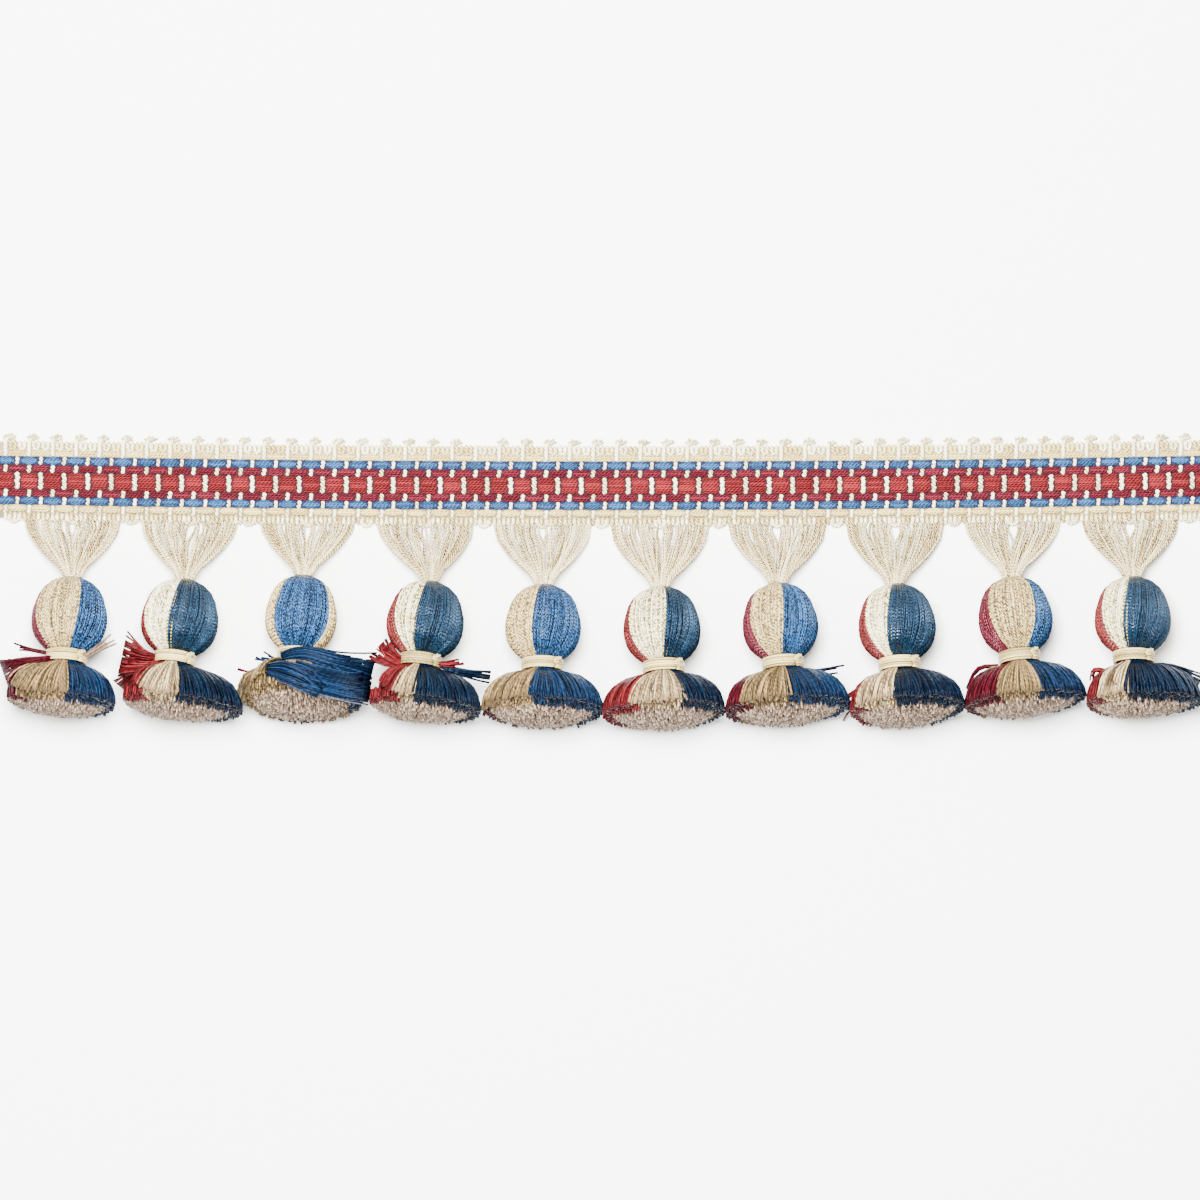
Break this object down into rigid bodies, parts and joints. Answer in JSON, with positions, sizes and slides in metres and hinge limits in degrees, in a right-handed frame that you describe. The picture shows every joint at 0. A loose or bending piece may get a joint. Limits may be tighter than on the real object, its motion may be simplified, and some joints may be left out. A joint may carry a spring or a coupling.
{
  "type": "tassel trim",
  "caption": "Straight run of woven trim with a picot edge and ball tassels with flared skirts, lying face up.",
  "frame": {"origin": "middle of the trim's footprint, on the surface that it lies on", "axes": "+X along the trim, +Y from the tassels towards the heading, +Z out of the face"},
  "size_m": [0.3058, 0.0749, 0.0279],
  "materials": {
    "heading_yarn": "spun cotton and viscose yarn, woven",
    "skein_silk": "lustrous plied viscose",
    "blue_silk": "lustrous wound viscose",
    "navy_silk": "lustrous wound viscose",
    "tie_cord": "smooth wound cord",
    "cut_silk": "cut viscose ends"
  },
  "bodies": {
    "root": {"heading": "heading_yarn", "hanger_1": "skein_silk", "head_1": "blue_silk", "tie_1": "tie_cord", "skirt_1": "cut_silk", "hanger_2": "skein_silk", "head_2": "navy_silk", "tie_2": "tie_cord", "skirt_2": "cut_silk", "hanger_3": "skein_silk", "head_3": "blue_silk", "tie_3": "tie_cord", "skirt_3": "cut_silk", "hanger_4": "skein_silk", "head_4": "navy_silk", "tie_4": "tie_cord", "skirt_4": "cut_silk", "hanger_5": "skein_silk", "head_5": "blue_silk", "tie_5": "tie_cord", "skirt_5": "cut_silk", "hanger_6": "skein_silk", "head_6": "navy_silk", "tie_6": "tie_cord", "skirt_6": "cut_silk", "hanger_7": "skein_silk", "head_7": "blue_silk", "tie_7": "tie_cord", "skirt_7": "cut_silk", "hanger_8": "skein_silk", "head_8": "navy_silk", "tie_8": "tie_cord", "skirt_8": "cut_silk", "hanger_9": "skein_silk", "head_9": "blue_silk", "tie_9": "tie_cord", "skirt_9": "cut_silk", "hanger_10": "skein_silk", "head_10": "navy_silk", "tie_10": "tie_cord", "skirt_10": "cut_silk"}
  },
  "joints": []
}
